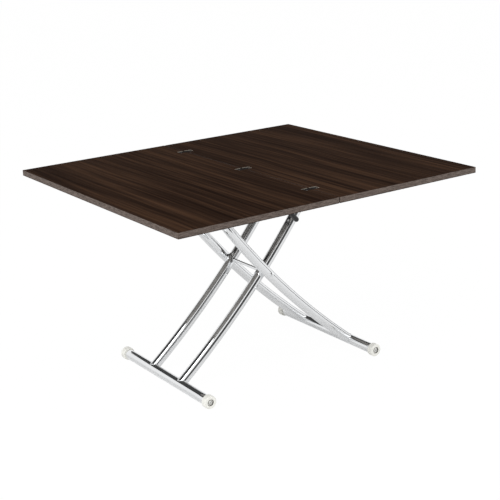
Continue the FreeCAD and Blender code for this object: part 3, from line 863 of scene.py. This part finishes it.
def makeLever():
    shaftAt = jointPlace("release")
    low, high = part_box("lever_shaft")
    radius = (high.z - low.z) / 2
    centre = Vector((shaftAt.x, 0, shaftAt.z))
    turns = [(centre, alongY, rod(low.y, high.y, radius, leverShape["shaftRound"]), False)]
    settle(turned("leverShaft", finishes["zinc"], turns), "release_lever", "zinc", "lever_shaft")
    slope = math.radians(leverShape["slope"])
    axis = Vector((math.cos(slope), 0, -math.sin(slope)))
    base = Vector((shaftAt.x, nodeMiddle("lever_grip").y, shaftAt.z))
    tip, length = leverShape["reach"], leverShape["gripLength"]
    start = tip - length
    neck, cone = leverShape["neck"]
    radius, swell = leverShape["gripRadius"], leverShape["tip"]
    waist = radius * leverShape["waist"]
    ringEnd, waistStart, waistEnd = (start + length * share for share in leverShape["ring"])
    profile = soften([
        (start, 0), (start, neck), (start + cone, radius), (ringEnd, radius),
        (waistStart, waist), (waistEnd, waist), (tip - swell, swell),
    ], leverShape["gripRound"])
    steps = leverShape["tipSteps"]
    for step in range(1, steps):  # rounded end
        angle = math.pi / 2 * step / steps
        profile.append(Vector((tip - swell + swell * math.sin(angle), swell * math.cos(angle))))
    profile.append(Vector((tip, 0)))
    grip = turned("leverGrip", finishes["blackPlastic"], [(base, axis, profile, False)])
    settle(grip, "release_lever", "black_plastic", "lever_grip")


makeLever()
print("lever made")


# Countersunk cross-head screws in the hinges and the swivel disc
screwShape = {
    "hinge": {"head": 0.0032, "height": 0.0022, "slot": 0.0042, "slotWidth": 0.0009, "slotDepth": 0.0012},
    "swivel": {"head": 0.0046, "height": 0.0025, "slot": 0.0056, "slotWidth": 0.0012, "slotDepth": 0.0015},
    "facets": 40,
    "foot": 0.5,  # lower end of the countersunk head, as a share of its radius
    "hingeInset": 0.008,
    "hingePitch": 0.014,
    "linkWidth": 0.008,
    "swivelCircle": 0.066,
    "swivelCount": 6,
}


def screwTree():
    inputs = {
        "Head Radius": "Float", "Head Height": "Float", "Slot Length": "Float", "Slot Width": "Float",
        "Slot Depth": "Float", "Finish": "Material",
    }
    tree, given, result = newTree("cross head screws", inputs)
    share = {1: screwShape["foot"]}
    foot = addNode(tree, "ShaderNodeMath", {0: given["Head Radius"]}, share, operation="MULTIPLY")
    links = {
        "Radius Top": given["Head Radius"], "Radius Bottom": foot.outputs["Value"],
        "Depth": given["Head Height"],
    }
    cone = addNode(tree, "GeometryNodeMeshCone", links, {"Vertices": screwShape["facets"]})
    down = addNode(tree, "ShaderNodeMath", {0: given["Head Height"]}, {1: -1.0}, operation="MULTIPLY")
    drop = addNode(tree, "ShaderNodeCombineXYZ", {"Z": down.outputs["Value"]})
    links = {"Geometry": cone.outputs["Mesh"], "Translation": drop.outputs["Vector"]}
    head = addNode(tree, "GeometryNodeTransform", links)
    deep = addNode(tree, "ShaderNodeMath", {0: given["Slot Depth"]}, {1: 2.0}, operation="MULTIPLY")
    solid = head.outputs["Geometry"]
    for first, second in (("Slot Length", "Slot Width"), ("Slot Width", "Slot Length")):
        links = {"X": given[first], "Y": given[second], "Z": deep.outputs["Value"]}
        size = addNode(tree, "ShaderNodeCombineXYZ", links)
        bar = addNode(tree, "GeometryNodeMeshCube", {"Size": size.outputs["Vector"]})
        links = {"Mesh 1": solid, "Mesh 2": bar.outputs["Mesh"]}
        cut = addNode(tree, "GeometryNodeMeshBoolean", links, operation="DIFFERENCE", solver="EXACT")
        solid = cut.outputs["Mesh"]
    endTree(tree, given, result, setOnPoints(tree, given, solid))
    return tree


def hingeRows():
    # Y of the three hinges, from the ends of the row of links
    low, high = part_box("hinge_links")
    middle = (low.y + high.y) / 2
    end = (high.y - low.y - screwShape["linkWidth"]) / 2
    return (middle - end, middle, middle + end)


def screwValues(kind, finish):
    shape = screwShape[kind]
    return {
        "Head Radius": shape["head"], "Head Height": shape["height"],
        "Slot Length": shape["slot"], "Slot Width": shape["slotWidth"], "Slot Depth": shape["slotDepth"],
        "Finish": finishes[finish],
    }


def makeScrews():
    tree = screwTree()
    for leaf, side in (("fixed", 1), ("flap", -1)):
        node = leaf + "_hinge_screws"
        low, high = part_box(leaf + "_hinge_plates")
        edge = high.x if side > 0 else low.x
        across = edge - side * screwShape["hingeInset"]
        points = []
        for row in hingeRows():
            for way in (-1, 1):
                spot = (across, row + way * screwShape["hingePitch"] / 2, high.z)
                points.append((Vector(spot), alongZ))
        values = screwValues("hinge", "screwSteel")
        screws = grown(leaf + "HingeScrews", tree, aimedPoints(node, points), values)
        settle(screws, leaf + "_top", "hinge_metal", node)
    centre = jointPlace("swivel")
    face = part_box("swivel_disc")[0].z
    points = []
    for number in range(screwShape["swivelCount"]):
        angle = 2 * math.pi * number / screwShape["swivelCount"]
        radius = screwShape["swivelCircle"]
        spot = (centre.x + radius * math.cos(angle), centre.y + radius * math.sin(angle), face)
        points.append((Vector(spot), -alongZ))
    values = screwValues("swivel", "zinc")
    screws = grown("swivelScrews", tree, aimedPoints("swivel_screws", points), values)
    settle(screws, "fixed_top", "zinc", "swivel_screws")


makeScrews()
print("screws set")


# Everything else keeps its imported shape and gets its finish
kept = {
    "board": ("fixed_leaf", "flap_leaf"),
    "band": ("fixed_edge_band", "flap_edge_band"),
    "bronzed": (
        "fixed_hinge_plates", "flap_hinge_plates", "hinge_links", "fixed_hinge_pins", "flap_hinge_pins",
    ),
    "powderCoat": (
        "rail_near", "rail_far", "pivot_deck", "lever_deck", "end_deck", "swivel_deck", "lever_hanger",
        "lever_arm",
    ),
    "zinc": (
        "swivel_disc", "swivel_bolt", "lever_finger", "valve_button", "rail_roller_clips",
        "outer_shaft_clips",
    ),
    "blackPlastic": ("spring_valve",),
    "nylon": ("glide_pads", "inner_bar_plugs", "outer_bar_plugs"),
}


def dressKept():
    for finish, names in kept.items():
        for name in names:
            mesh = nodes[name].data
            mesh.materials.clear()
            mesh.materials.append(finishes[finish])


dressKept()
print("packed shapes dressed:", sum(len(names) for names in kept.values()))


# Camera at the photographed angle
cameraView = {
    "place": (-2.2681, -3.3932, 1.6767),
    "heading": 33.942,  # degrees, as are pitch and roll
    "pitch": -17.116,
    "roll": -2.293,
    "lens": 84.242,
    "sensor": 36,
}


def makeCamera():
    heading, pitch, roll = (math.radians(cameraView[key]) for key in ("heading", "pitch", "roll"))
    flat = math.cos(pitch)
    forward = Vector((math.sin(heading) * flat, math.cos(heading) * flat, math.sin(pitch)))
    level = forward.cross(alongZ).normalized()
    upright = level.cross(forward)
    right = level * math.cos(roll) + upright * math.sin(roll)
    upward = upright * math.cos(roll) - level * math.sin(roll)
    lens = bpy.data.cameras.new("photo camera")
    lens.lens = cameraView["lens"]
    lens.sensor_width = cameraView["sensor"]
    camera = newPiece("photo camera", lens)
    turn = Matrix((right, upward, -forward)).transposed().to_4x4()
    camera.matrix_world = Matrix.Translation(cameraView["place"]) @ turn
    bpy.context.scene.camera = camera


# White studio: bright floor and world, soft key from the left, weak fill from the right.
# Dark cards, seen by reflections alone, give the chrome its dark lines.
studio = {
    "worldLight": 0.62,
    "floor": {"size": 30.0, "drop": 0.0005, "colour": (0.93, 0.93, 0.93, 1)},
    "floorGlow": {"light": 1.01, "camera": 0.97, "mirrored": 0.30},  # shares that camera and chrome see
    "cards": {
        "ceiling": {
            "corners": ((-3, -1, 3), (5, -1, 3), (5, 9, 3), (0.2, 4.6, 3), (-3, 4.5, 3)),
            "light": 0.06,
        },
        "roomBehind": {
            "corners": (
                (-0.43, -1.17, 0.01), (0.087, -1.082, 0.01), (1.162, -1.389, 0.487),
                (1.93, -2.3, 1.5), (-1.03, -2.82, 1.5),
            ),
            "light": 0.08,
        },
        "roomBeside": {
            "corners": ((4.6, 3.9, 0.2), (4.3, -4.2, 0.2), (4.3, -4.2, 0.5), (4.6, 3.9, 0.5)),
            "light": 0.10,
        },
    },
    "lamps": {
        "key": {"place": (-3.9, -2.0, 3.6), "size": 3.0, "power": 125},
        "fill": {"place": (3.6, -3.0, 2.4), "size": 3.0, "power": 60},
    },
    "aim": (0, 0, 0.5),
}
white = {"Color": (1, 1, 1, 1)}


def backgroundRays(tree):
    path = addNode(tree, "ShaderNodeLightPath").outputs
    seen = maths(tree, "MAXIMUM", path["Is Camera Ray"], path["Is Glossy Ray"])
    return maths(tree, "MAXIMUM", seen, path["Is Transmission Ray"])


def makeWorld():
    world = bpy.data.worlds.new("white studio")
    world.use_nodes = True
    tree = world.node_tree
    tree.nodes.clear()
    light = addNode(tree, "ShaderNodeBackground", values={**white, "Strength": studio["worldLight"]})
    seen = addNode(tree, "ShaderNodeBackground", values={**white, "Strength": 1.0})
    links = {0: backgroundRays(tree), 1: light.outputs["Background"], 2: seen.outputs["Background"]}
    mix = addNode(tree, "ShaderNodeMixShader", links)
    addNode(tree, "ShaderNodeOutputWorld", {"Surface": mix.outputs["Shader"]})
    bpy.context.scene.world = world


def emptyFinish(name):
    finish = bpy.data.materials.new(name)
    finish.use_nodes = True
    finish.node_tree.nodes.clear()
    return finish, finish.node_tree


def makeFloor():
    shape, shares = studio["floor"], studio["floorGlow"]
    half = shape["size"] / 2
    corners = [(-half, -half, 0), (half, -half, 0), (half, half, 0), (-half, half, 0)]
    mesh = bpy.data.meshes.new("floor")
    mesh.from_pydata(corners, [], [(0, 1, 2, 3)])
    finish, tree = emptyFinish("white floor")
    matt = addNode(tree, "ShaderNodeBsdfDiffuse", values={"Color": shape["colour"]})
    glow = addNode(tree, "ShaderNodeEmission", values={**white, "Strength": shares["light"]})
    path = addNode(tree, "ShaderNodeLightPath").outputs
    mirrored = maths(tree, "MAXIMUM", path["Is Glossy Ray"], path["Is Transmission Ray"])
    mirrored = maths(tree, "MULTIPLY", mirrored, shares["mirrored"])
    direct = maths(tree, "MULTIPLY", path["Is Camera Ray"], shares["camera"])
    share = maths(tree, "MAXIMUM", direct, mirrored)
    links = {0: share, 1: matt.outputs["BSDF"], 2: glow.outputs["Emission"]}
    mix = addNode(tree, "ShaderNodeMixShader", links)
    addNode(tree, "ShaderNodeOutputMaterial", {"Surface": mix.outputs["Shader"]})
    mesh.materials.append(finish)
    floor = newPiece("floor", mesh)
    floor.location.z = -shape["drop"]


def makeCards():
    for name, shape in studio["cards"].items():
        mesh = bpy.data.meshes.new(name)
        mesh.from_pydata(shape["corners"], [], [tuple(range(len(shape["corners"])))])
        finish, tree = emptyFinish(name)
        glow = addNode(tree, "ShaderNodeEmission", values={**white, "Strength": shape["light"]})
        addNode(tree, "ShaderNodeOutputMaterial", {"Surface": glow.outputs["Emission"]})
        mesh.materials.append(finish)
        card = newPiece(name, mesh)
        card.visible_camera = False
        card.visible_diffuse = False
        card.visible_shadow = False


def makeLamps():
    for name, shape in studio["lamps"].items():
        lamp = bpy.data.lights.new(name, "AREA")
        lamp.size = shape["size"]
        lamp.energy = shape["power"]
        placed = newPiece(name, lamp)
        placed.location = shape["place"]
        placed.rotation_mode = "QUATERNION"
        aim = Vector(studio["aim"]) - placed.location
        placed.rotation_quaternion = aim.to_track_quat("-Z", "Y")


makeCamera()
makeWorld()
makeFloor()
makeCards()
makeLamps()
bpy.context.scene.view_settings.view_transform = "Standard"
print("camera and studio set")
